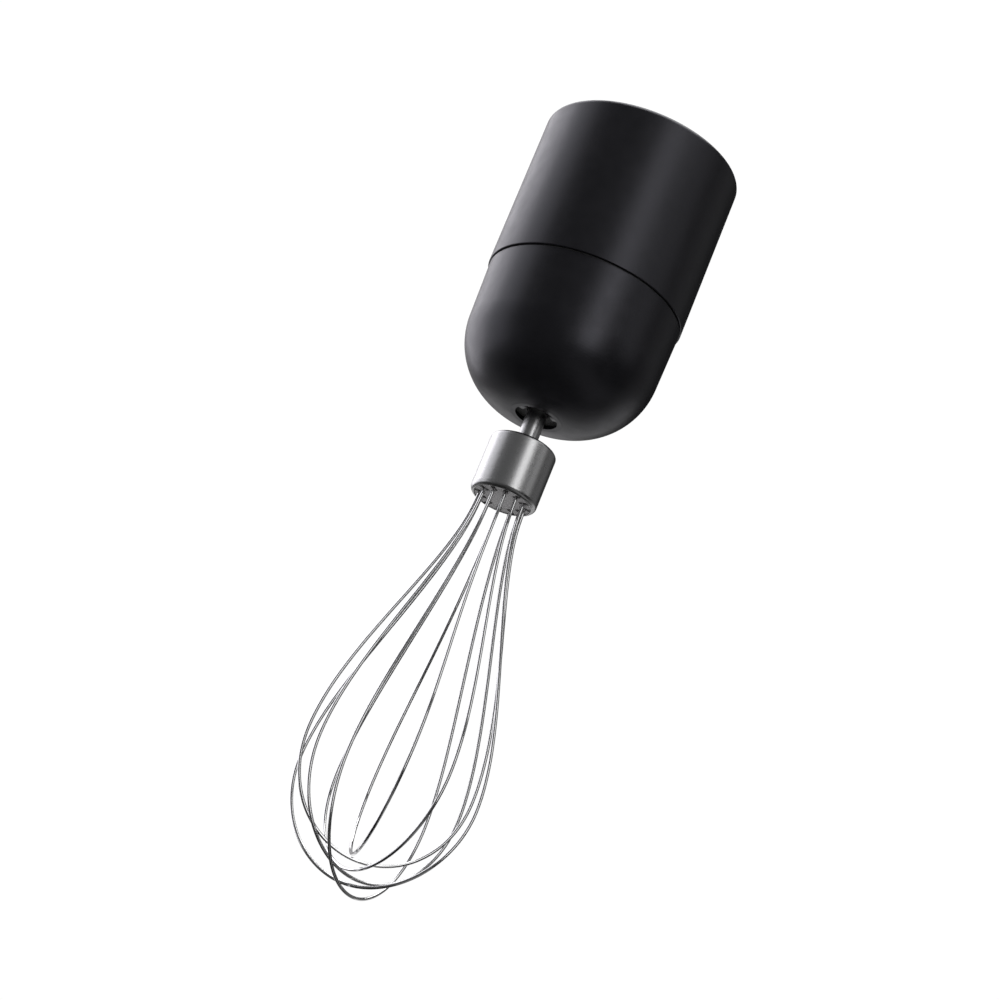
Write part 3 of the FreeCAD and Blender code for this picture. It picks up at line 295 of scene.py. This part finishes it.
def dome():
    """The lower casing, a smooth shoulder down to the nose opening with its three tabs."""
    seam = gasket_low.z
    nose = dome_low.z
    taper = (DOME_RADIUS - DOME_FOOT_RADIUS) / (seam - nose)
    lean = math.degrees(math.atan(taper))
    centre = (DOME_FOOT_RADIUS - DOME_SHOULDER + DOME_SHOULDER * taper, nose + DOME_SHOULDER)
    wall_top = (DOME_RADIUS - SEAM_EDGE, seam - SEAM_EDGE)
    nose_centre = (NOSE_RADIUS + NOSE_ROUNDING, nose + NOSE_ROUNDING)
    inner = DOME_SHOULDER - DOME_WALL
    bore_angle = math.degrees(math.acos((BEARING_BORE_RADIUS + DOME_WALL - centre[0]) / inner))
    outline = [(SPIGOT_INNER_RADIUS, dome_high.z), (SPIGOT_RADIUS, dome_high.z), (SPIGOT_RADIUS, seam)]
    outline += arc(wall_top, SEAM_EDGE, 90, 0, 4)
    outline += arc(centre, DOME_SHOULDER, -lean, -90, 40)
    outline += arc(nose_centre, NOSE_ROUNDING, 270, 180, 5)
    outline += [
        (NOSE_RADIUS, -SEAL_SEAT_DEPTH),
        (BEARING_BORE_RADIUS, -SEAL_SEAT_DEPTH),
        (BEARING_BORE_RADIUS, centre[1]),
        (BEARING_BORE_RADIUS + DOME_WALL, centre[1]),
    ]
    outline += arc(centre, inner, -bore_angle, -lean - 1, 24)
    outline += [(SPIGOT_INNER_RADIUS, centre[1])]
    piece = lathe("gearbox_dome_shell", outline, CASING_SEGMENTS)
    width, reach = NOSE_TAB
    tab = block("nose_tab", (reach, -width / 2, nose + NOSE_ROUNDING / 2),
                (NOSE_RADIUS + JOIN_DEPTH, width / 2, -SEAL_SEAT_DEPTH + 0.02 * MM), NOSE_TAB_EDGE)
    combine(piece, turned_copies(tab, NOSE_TAB_COUNT, 90.0), "UNION")
    bpy.data.objects.remove(tab)
    return piece


def gasket():
    """The soft ring in the seam, with a rounded outer edge."""
    half = (gasket_high.z - gasket_low.z) / 2
    centre = (gasket_high.x - half, (gasket_high.z + gasket_low.z) / 2)
    outline = [(SPIGOT_RADIUS, gasket_low.z)]
    outline += arc(centre, half, -90, 90, 8)
    outline += [(SPIGOT_RADIUS, gasket_high.z)]
    return lathe("seam_gasket_ring", outline, CASING_SEGMENTS)


# ---------------------------------------------------------------- whisk


def ferrule():
    """The drawn cup: a rounded shoulder round the shaft and a mouth rolled inward."""
    radius = ferrule_high.x
    top, end = ferrule_high.z, ferrule_low.z
    top_centre = (radius - FERRULE_TOP_ROUNDING, top - FERRULE_TOP_ROUNDING)
    end_centre = (radius - FERRULE_END_ROUNDING, end + FERRULE_END_ROUNDING)
    inner = radius - FERRULE_WALL
    neck, lip = FERRULE_NECK_ROUNDING, FERRULE_LIP_ROUNDING
    outline = arc((SHAFT_RADIUS + neck, top - neck), neck, 180, 90, 3)
    outline += arc(top_centre, FERRULE_TOP_ROUNDING, 90, 0, 10)
    outline += arc(end_centre, FERRULE_END_ROUNDING, 0, -72, 12)
    outline += arc((FERRULE_MOUTH_RADIUS + lip, end + lip + FERRULE_LIP_LIFT), lip, -90, -180, 4)
    outline += [
        (FERRULE_MOUTH_RADIUS, end + FERRULE_END_ROUNDING - FERRULE_WALL),
        (inner, end + FERRULE_END_ROUNDING),
        (inner, top - FERRULE_WALL),
        (SHAFT_RADIUS, top - FERRULE_WALL),
    ]
    return lathe("ferrule_cup", outline, FERRULE_SEGMENTS)


def holder():
    """The plastic plug in the ferrule's mouth, a slot in its end for every wire."""
    outer = holder_high.x
    roll = ferrule_low.z + FERRULE_END_ROUNDING
    end = holder_low.z
    head_top = shaft_low.z + SHAFT_HEAD_THICKNESS
    outline = [
        (0, shaft_low.z),
        (SHAFT_HEAD_RADIUS, shaft_low.z),
        (SHAFT_HEAD_RADIUS, head_top),
        (SHAFT_RADIUS, head_top),
        (SHAFT_RADIUS, holder_high.z),
        (outer, holder_high.z),
        (outer, roll),
        (FERRULE_MOUTH_RADIUS, roll - FERRULE_WALL),
    ]
    outline += arc((FERRULE_MOUTH_RADIUS - HOLDER_EDGE, end + HOLDER_EDGE), HOLDER_EDGE, 0, -90, 4)
    outline += [(SLOT_RADII[0], end), (SLOT_RADII[0] / 2, end), (0, end)]
    piece = lathe("wire_holder_plug", outline, HOLDER_SEGMENTS, ring=False)
    slot = block("slot", (SLOT_RADII[0], -SLOT_WIDTH / 2, end - SLOT_DEPTH),
                 (SLOT_RADII[1], SLOT_WIDTH / 2, end + SLOT_DEPTH), SLOT_EDGE)
    combine(piece, turned_copies(slot, SLOT_COUNT), "DIFFERENCE")
    bpy.data.objects.remove(slot)
    return piece


def shaft():
    """The steel shaft: chamfered hexagonal end, the snap ring's notch, and the riveted head."""
    corner = HEX_FLATS / math.sqrt(3)
    notch_top, notch_end, notch_radius, bevel = NOTCH

    def hexagon(angle):
        within = (angle + math.pi / 6) % (math.pi / 3) - math.pi / 6
        return HEX_FLATS / 2 / math.cos(math.pi / 6 - abs(within))

    def ring(height, round_radius=None, hex_limit=None):
        found = []
        for i in range(SHAFT_SEGMENTS):
            angle = math.tau * i / SHAFT_SEGMENTS
            radius = round_radius if hex_limit is None else min(hexagon(angle), hex_limit)
            found.append((radius * math.cos(angle), radius * math.sin(angle), height))
        return found

    hex_end = -HEX_END_DEPTH
    rings = [
        ring(shaft_high.z, hex_limit=corner - HEX_CHAMFER),
        ring(shaft_high.z - HEX_CHAMFER, hex_limit=corner),
        ring(hex_end + 0.1 * MM, hex_limit=corner),
        ring(hex_end, hex_limit=corner),
        ring(hex_end, SHAFT_RADIUS - 0.2 * MM),
        ring(hex_end - 0.2 * MM, SHAFT_RADIUS),
        ring(-notch_top, SHAFT_RADIUS),
        ring(-notch_top - bevel, notch_radius),
        ring(-notch_end + bevel, notch_radius),
        ring(-notch_end, SHAFT_RADIUS),
        ring(-notch_end - 0.1 * MM, SHAFT_RADIUS),
        ring(shaft_low.z + SHAFT_HEAD_THICKNESS, SHAFT_RADIUS),
        ring(shaft_low.z + SHAFT_HEAD_THICKNESS, SHAFT_HEAD_RADIUS),
        ring(shaft_low.z, SHAFT_HEAD_RADIUS),
    ]
    bm = bmesh.new()
    grid = [[bm.verts.new(point) for point in points] for points in rings]
    for one, other in zip(grid, grid[1:]):
        for i in range(SHAFT_SEGMENTS):
            after = (i + 1) % SHAFT_SEGMENTS
            bm.faces.new((one[i], one[after], other[after], other[i]))
    bm.faces.new(grid[0])
    bm.faces.new(grid[-1])
    return finish_mesh("whisk_shaft_rod", bm, 20.0)


def bezier(start, pull_start, pull_end, end, count):
    """Points along a cubic curve in (depth, radius), leaving its first one out."""
    found = []
    for i in range(1, count + 1):
        t = i / count
        weights = ((1 - t) ** 3, 3 * t * (1 - t) ** 2, 3 * t * t * (1 - t), t ** 3)
        corners = (start, pull_start, pull_end, end)
        found.append(tuple(sum(w * c[axis] for w, c in zip(weights, corners)) for axis in (0, 1)))
    return found


def half_loop(reach, tip_depth):
    """One leg in (depth, radius), from its end in the holder to the loop's tip on the axis."""
    mouth, radius = -ferrule_low.z, WIRE_CIRCLE_RADIUS
    widest = mouth + WIDEST_FRACTION * (tip_depth - mouth)
    leg_pull = (mouth + LEG_START_PULL * math.cos(LEG_LEAN), radius + LEG_START_PULL * math.sin(LEG_LEAN))
    leg = bezier((mouth, radius), leg_pull, (widest - LEG_END_PULL, reach), (widest, reach), LEG_POINTS)
    side_pull = (widest + CROWN_SIDE_PULL, reach)
    crown = bezier((widest, reach), side_pull, (tip_depth, CROWN_TIP_PULL), (tip_depth, 0.0), CROWN_POINTS)
    return [(WIRE_TOP_DEPTH, radius), (mouth, radius)] + leg + crown, widest


def loop_corners(slot, twist, reach, tip_depth, sway_along, sway_across):
    """The loop's corners in space: its plane turns on the way down, and the crown leans off the axis."""
    half, widest = half_loop(reach * MM, tip_depth * MM)
    mouth = -ferrule_low.z
    plane = math.radians(slot + twist)
    sway = Vector((math.cos(plane), math.sin(plane), 0)) * sway_along * MM
    sway += Vector((-math.sin(plane), math.cos(plane), 0)) * sway_across * MM
    points = []
    for side, leg in ((1, half), (-1, half[-2::-1])):
        for depth, radius in leg:
            share = min(1.0, max(0.0, (depth - mouth) / (widest - mouth)))
            angle = math.radians(slot + twist * share * share * (3 - 2 * share))
            lean = max(0.0, (depth - mouth) / (tip_depth * MM - mouth)) ** SWAY_POWER
            corner = Vector((side * radius * math.cos(angle), side * radius * math.sin(angle), -depth))
            points.append(corner + sway * lean)
    return points


def smooth_line(corners, steps=8):
    """A quadratic spline that has the corners as its control points."""
    line = [corners[0]]
    for before, corner, after in zip(corners, corners[1:], corners[2:]):
        start, end = (before + corner) / 2, (corner + after) / 2
        for i in range(steps):
            t = i / steps
            line.append(start * (1 - t) ** 2 + corner * 2 * t * (1 - t) + end * t * t)
    line += [(corners[-2] + corners[-1]) / 2, corners[-1]]
    return line


def tube(name, line, radius, sides=16):
    """A round wire along a line, with its length and its girth in metres as UV."""
    bm = bmesh.new()
    uv = bm.loops.layers.uv.new("UVMap")
    directions = [(b - a).normalized() for a, b in zip(line, line[1:])]
    directions.append(directions[-1])
    across = directions[0].orthogonal().normalized()
    rings, lengths, length = [], [], 0.0
    last = directions[0]
    for i, point in enumerate(line):
        here = (directions[max(0, i - 1)] + directions[i]).normalized()
        across = last.rotation_difference(here) @ across
        across = (across - here * across.dot(here)).normalized()
        other = here.cross(across)
        last = here
        if i:
            length += (point - line[i - 1]).length
        turns = [math.tau * k / sides for k in range(sides)]
        spots = [point + (across * math.cos(t) + other * math.sin(t)) * radius for t in turns]
        rings.append([bm.verts.new(spot) for spot in spots])
        lengths.append(length)
    girth = math.tau * radius
    for i, (one, other) in enumerate(zip(rings, rings[1:])):
        for k in range(sides):
            after = (k + 1) % sides
            face = bm.faces.new((one[k], one[after], other[after], other[k]))
            low, high = girth * k / sides, girth * (k + 1) / sides
            places = ((lengths[i], low), (lengths[i], high), (lengths[i + 1], high), (lengths[i + 1], low))
            for loop, place in zip(face.loops, places):
                loop[uv].uv = place
    bm.faces.new(rings[0])
    bm.faces.new(rings[-1])
    return finish_mesh(name, bm, 60.0)


# ---------------------------------------------------------------- materials


class Finish:
    """A node material with one Principled shader, built up from noise, colour, roughness and bump."""

    def __init__(self, name, roughness, metallic=0.0, **sockets):
        self.material = bpy.data.materials.new(name + "_finish")
        self.material.use_nodes = True
        self.tree = self.material.node_tree
        self.shader = next(n for n in self.tree.nodes if n.type == "BSDF_PRINCIPLED")
        self.set("Roughness", roughness)
        self.set("Metallic", metallic)
        for socket, value in sockets.items():
            self.set(socket.replace("_", " "), value)
        self.bump_end = None

    def set(self, socket, value):
        self.shader.inputs[socket].default_value = value

    def node(self, kind, **properties):
        made = self.tree.nodes.new(kind)
        for key, value in properties.items():
            setattr(made, key, value)
        return made

    def link(self, output, socket):
        self.tree.links.new(output, socket)

    def noise(self, scale, stretch=(1, 1, 1), detail=3.0, uv=False):
        """Noise in metres: scale is waves to the metre, stretch multiplies it along each axis."""
        place = self.node("ShaderNodeTexCoord")
        mapping = self.node("ShaderNodeMapping")
        mapping.inputs["Scale"].default_value = stretch
        texture = self.node("ShaderNodeTexNoise")
        texture.inputs["Scale"].default_value = scale
        texture.inputs["Detail"].default_value = detail
        self.link(place.outputs["UV" if uv else "Object"], mapping.inputs["Vector"])
        self.link(mapping.outputs["Vector"], texture.inputs["Vector"])
        return texture.outputs["Fac"]

    def colours(self, source, *stops):
        """Colours the surface by a value, through (place, colour) stops."""
        ramp = self.node("ShaderNodeValToRGB")
        elements = ramp.color_ramp.elements
        while len(elements) < len(stops):
            elements.new(0.5)
        for element, (place, colour) in zip(elements, stops):
            element.position = place
            element.color = (*colour, 1)
        self.link(source, ramp.inputs["Fac"])
        self.link(ramp.outputs["Color"], self.shader.inputs["Base Color"])

    def roughness(self, source, low, high):
        spread = self.node("ShaderNodeMapRange")
        spread.inputs["From Min"].default_value = 0.3
        spread.inputs["From Max"].default_value = 0.7
        spread.inputs["To Min"].default_value = low
        spread.inputs["To Max"].default_value = high
        self.link(source, spread.inputs["Value"])
        self.link(spread.outputs["Result"], self.shader.inputs["Roughness"])

    def bump(self, source, strength, height):
        """Adds relief of a height in metres over what is there already."""
        relief = self.node("ShaderNodeBump")
        relief.inputs["Strength"].default_value = strength
        relief.inputs["Distance"].default_value = height
        self.link(source, relief.inputs["Height"])
        if self.bump_end is not None:
            self.link(self.bump_end, relief.inputs["Normal"])
        self.link(relief.outputs["Normal"], self.shader.inputs["Normal"])
        self.bump_end = relief.outputs["Normal"]


def moulded(name, dark, light, low, high, grain=0.06, **sockets):
    """Moulded plastic: spark-eroded grain, faint flow marks in the colour, uneven gloss."""
    finish = Finish(name, (low + high) / 2, **sockets)
    finish.colours(finish.noise(90, (1, 1, 0.5)), (0.35, dark), (0.65, light))
    finish.roughness(finish.noise(260, detail=5.0), low, high)
    finish.bump(finish.noise(3800, detail=2.0), grain, 0.02 * MM)
    finish.bump(finish.noise(160, (1, 1, 0.4)), 0.05, 0.03 * MM)
    return finish.material


def make_black_plastic():
    return moulded("black_plastic", (0.0026, 0.0025, 0.0033), (0.0038, 0.0037, 0.0047), 0.34, 0.40,
                   Specular_Tint=(0.90, 0.89, 1.0, 1), Specular_IOR_Level=0.53)


def make_inner_plastic():
    return moulded("inner_plastic", (0.022, 0.022, 0.024), (0.032, 0.032, 0.034), 0.42, 0.52, 0.12)


def make_grey_plastic():
    return moulded("grey_plastic", (0.160, 0.156, 0.158), (0.200, 0.195, 0.198), 0.44, 0.54, 0.15)


def make_white_nylon():
    return moulded("white_nylon", (0.66, 0.63, 0.55), (0.76, 0.74, 0.67), 0.38, 0.48, 0.08)


def make_black_rubber():
    finish = Finish("black_rubber", 0.7)
    finish.colours(finish.noise(700), (0.3, (0.022, 0.022, 0.023)), (0.7, (0.034, 0.034, 0.035)))
    finish.roughness(finish.noise(1800, detail=4.0), 0.62, 0.8)
    finish.bump(finish.noise(5000), 0.25, 0.02 * MM)
    return finish.material


def make_felt():
    finish = Finish("felt", 0.95, Sheen_Weight=0.12)
    fibres = finish.noise(9000, (1, 1, 0.3), detail=6.0)
    finish.colours(fibres, (0.35, (0.006, 0.006, 0.006)), (0.65, (0.017, 0.016, 0.016)))
    finish.bump(fibres, 0.7, 0.1 * MM)
    return finish.material


def make_brushed_steel():
    """Turned steel: fine rings round the axis, broken into short streaks."""
    finish = Finish("brushed_steel", 0.3, 1.0, Anisotropic=0.55)
    streaks = finish.noise(400, (1, 1, 22), detail=6.0)
    finish.colours(streaks, (0.3, (0.470, 0.469, 0.472)), (0.7, (0.486, 0.485, 0.488)))
    finish.roughness(streaks, 0.27, 0.30)
    finish.bump(streaks, 0.015, 0.004 * MM)
    finish.bump(finish.noise(140), 0.03, 0.02 * MM)
    tangent = finish.node("ShaderNodeTangent", direction_type="RADIAL", axis="Z")
    finish.link(tangent.outputs["Tangent"], finish.shader.inputs["Tangent"])
    return finish.material


def make_bright_wire():
    """Drawn and polished wire: faint lines along its length, small uneven bright patches."""
    finish = Finish("bright_wire", 0.09, 1.0)
    lines = finish.noise(5000, (0.02, 1, 1), detail=4.0, uv=True)
    finish.colours(lines, (0.3, (0.60, 0.60, 0.603)), (0.7, (0.68, 0.68, 0.683)))
    finish.roughness(finish.noise(150, uv=True), 0.06, 0.13)
    finish.bump(lines, 0.04, 0.004 * MM)
    return finish.material


def make_bronze():
    finish = Finish("bronze", 0.45, 1.0)
    pores = finish.noise(3500, detail=6.0)
    finish.colours(pores, (0.35, (0.30, 0.18, 0.08)), (0.6, (0.55, 0.37, 0.18)))
    finish.roughness(pores, 0.38, 0.6)
    finish.bump(pores, 0.35, 0.02 * MM)
    return finish.material


def make_dark_steel():
    finish = Finish("dark_steel", 0.35, 1.0)
    marks = finish.noise(900, (1, 1, 6), detail=5.0)
    finish.colours(marks, (0.3, (0.20, 0.20, 0.21)), (0.7, (0.33, 0.33, 0.34)))
    finish.roughness(marks, 0.28, 0.45)
    finish.bump(marks, 0.15, 0.01 * MM)
    return finish.material


MAKERS = {
    "black_plastic": make_black_plastic,
    "inner_plastic": make_inner_plastic,
    "grey_plastic": make_grey_plastic,
    "white_nylon": make_white_nylon,
    "black_rubber": make_black_rubber,
    "felt": make_felt,
    "brushed_steel": make_brushed_steel,
    "bright_wire": make_bright_wire,
    "bronze": make_bronze,
    "dark_steel": make_dark_steel,
}


# ---------------------------------------------------------------- assembly

materials = {slot: make() for slot, make in MAKERS.items()}
node_slots = {row["node"]: row["material_slot"] for row in frame["record"]["subparts"]}


def dress(piece, node, body):
    """Puts a built piece in its CAD node's place: its finish and its body, with the CAD node hidden."""
    piece.data.materials.clear()
    piece.data.materials.append(materials[node_slots[node]])
    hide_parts(node)
    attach(piece, body)


def finish_cad_nodes():
    """Gives every CAD node its finish in place of the plain imported one."""
    for node, thing in frame["nodes"].items():
        for holder_slot in thing.material_slots:
            holder_slot.material = materials[node_slots[node]]
        if not thing.material_slots:
            thing.data.materials.append(materials[node_slots[node]])


def build_object():
    finish_cad_nodes()
    dress(collar(), "coupling_collar", "housing")
    dress(dome(), "gearbox_dome", "housing")
    dress(gasket(), "seam_gasket", "housing")
    dress(ferrule(), "ferrule", "whisk")
    dress(holder(), "wire_holder", "whisk")
    dress(shaft(), "whisk_shaft", "whisk")
    for number, loop in enumerate(LOOPS, start=1):
        wire = tube(f"wire_loop_{number}", smooth_line(loop_corners(*loop)), WIRE_RADIUS)
        dress(wire, f"whisk_wire_{number}", "whisk")


# ---------------------------------------------------------------- studio

FLOOR_HEIGHT = -1.3
FLOOR_SIZE = 40.0
LIGHT_TARGET = Vector((0, 0, -0.07))
BRIGHT_SIDE = (-50, 40)
AMBIENT_LOW, AMBIENT_HIGH = 0.012, 0.12

CAMERA_TARGET = Vector((-0.00076, 0, -0.1225))
CAMERA_BELOW = math.radians(21.63)
CAMERA_DISTANCE = 0.9119
CAMERA_ROLL = math.radians(22.3)
CAMERA_LENS = 112.07

# each softbox: name, azimuth, elevation, distance, width, height, brightness, and a tint where it has one
LAMPS = (
    ("left_panel", -130, 20, 1.3, 1.0, 2.1, 2.2, (1.0, 0.98, 1.03)),
    ("left_far", -170, 20, 1.3, 0.9, 2.1, 0.35, (1.0, 0.98, 1.0)),
    ("left_edge", -95, 10, 1.6, 1.15, 2.5, 0.90, (0.98, 0.98, 1.03)),
    ("key_strip", 22, 5, 1.7, 0.66, 1.45, 2.1),
    ("upper_key", 38, 48, 1.7, 1.1, 0.8, 1.5),
    ("right_fill", 70, 17, 1.6, 0.6, 1.0, 0.42),
    ("right_edge", 114, 4, 1.6, 1.0, 2.3, 0.14),
    ("low_fill", 62, -52, 1.3, 1.6, 0.6, 0.22),
    ("back_low", 160, -16, 1.6, 2.4, 0.8, 0.65),
    ("back_under", 180, -42, 1.3, 2.1, 0.7, 0.19),
    ("overhead", 0, 89, 2.2, 2.0, 2.0, 3.4),
)


def direction(azimuth, elevation):
    """From the object, in degrees: azimuth 0 is the camera's side, 90 its right."""
    a, e = math.radians(azimuth), math.radians(elevation)
    return Vector((math.sin(a) * math.cos(e), -math.cos(a) * math.cos(e), math.sin(e)))


def softbox(name, azimuth, elevation, distance, width, height, radiance, tint=(1, 1, 1)):
    """A soft panel that faces the object, of an even brightness, itself unseen."""
    lamp = bpy.data.lights.new(name, "AREA")
    lamp.shape = "RECTANGLE"
    lamp.size, lamp.size_y = width, height
    lamp.energy = radiance * math.pi * width * height
    lamp.color = tint
    thing = bpy.data.objects.new(name, lamp)
    back = direction(azimuth, elevation)
    thing.location = LIGHT_TARGET + back * distance
    thing.rotation_mode = "QUATERNION"
    thing.rotation_quaternion = (-back).to_track_quat("-Z", "Y")
    thing.visible_camera = False
    bpy.context.scene.collection.objects.link(thing)


def studio_world():
    """White to the eye, and a dim surrounding light that is brightest from the upper left."""
    world = bpy.data.worlds.new("studio")
    bpy.context.scene.world = world
    world.use_nodes = True
    tree = world.node_tree
    tree.nodes.clear()
    output = tree.nodes.new("ShaderNodeOutputWorld")
    choice = tree.nodes.new("ShaderNodeMixShader")
    path = tree.nodes.new("ShaderNodeLightPath")
    seen = tree.nodes.new("ShaderNodeBackground")
    seen.inputs["Color"].default_value = (1, 1, 1, 1)
    seen.inputs["Strength"].default_value = 1.02
    ambient = tree.nodes.new("ShaderNodeBackground")
    ambient.inputs["Color"].default_value = (0.98, 0.99, 1.0, 1)
    place = tree.nodes.new("ShaderNodeTexCoord")
    toward = tree.nodes.new("ShaderNodeVectorMath")
    toward.operation = "DOT_PRODUCT"
    toward.inputs[1].default_value = direction(*BRIGHT_SIDE)
    level = tree.nodes.new("ShaderNodeMapRange")
    level.inputs["From Min"].default_value = -0.4
    level.inputs["From Max"].default_value = 0.6
    level.inputs["To Min"].default_value = AMBIENT_LOW
    level.inputs["To Max"].default_value = AMBIENT_HIGH
    tree.links.new(place.outputs["Generated"], toward.inputs[0])
    tree.links.new(toward.outputs["Value"], level.inputs["Value"])
    tree.links.new(level.outputs["Result"], ambient.inputs["Strength"])
    tree.links.new(path.outputs["Is Camera Ray"], choice.inputs["Fac"])
    tree.links.new(ambient.outputs["Background"], choice.inputs[1])
    tree.links.new(seen.outputs["Background"], choice.inputs[2])
    tree.links.new(choice.outputs["Shader"], output.inputs["Surface"])


def studio_floor():
    bm = bmesh.new()
    bmesh.ops.create_grid(bm, x_segments=8, y_segments=8, size=FLOOR_SIZE / 2)
    bmesh.ops.translate(bm, vec=(0, 0, FLOOR_HEIGHT), verts=bm.verts)
    floor = finish_mesh("studio_floor", bm)
    finish = Finish("pale_floor", 0.8, Emission_Color=(1, 1, 1, 1), Emission_Strength=0.4)
    finish.colours(finish.noise(3), (0.3, (0.80, 0.80, 0.80)), (0.7, (0.84, 0.84, 0.84)))
    floor.data.materials.append(finish.material)
    floor.visible_glossy = False


def studio_camera():
    """The view from below and in front, the camera rolled so that the whisk points down left."""
    data = bpy.data.cameras.new("camera")
    data.sensor_width = 36.0
    data.lens = CAMERA_LENS
    data.clip_start = 0.01
    data.clip_end = 50.0
    camera = bpy.data.objects.new("camera", data)
    back = direction(0, -math.degrees(CAMERA_BELOW))
    camera.location = CAMERA_TARGET + back * CAMERA_DISTANCE
    camera.rotation_mode = "QUATERNION"
    level = (-back).to_track_quat("-Z", "Y")
    camera.rotation_quaternion = level @ Quaternion((0, 0, 1), CAMERA_ROLL)
    bpy.context.scene.collection.objects.link(camera)
    bpy.context.scene.camera = camera


def build_studio():
    bpy.context.scene.view_settings.view_transform = "Standard"
    studio_world()
    studio_floor()
    studio_camera()
    for lamp in LAMPS:
        softbox(*lamp)


build_object()
build_studio()
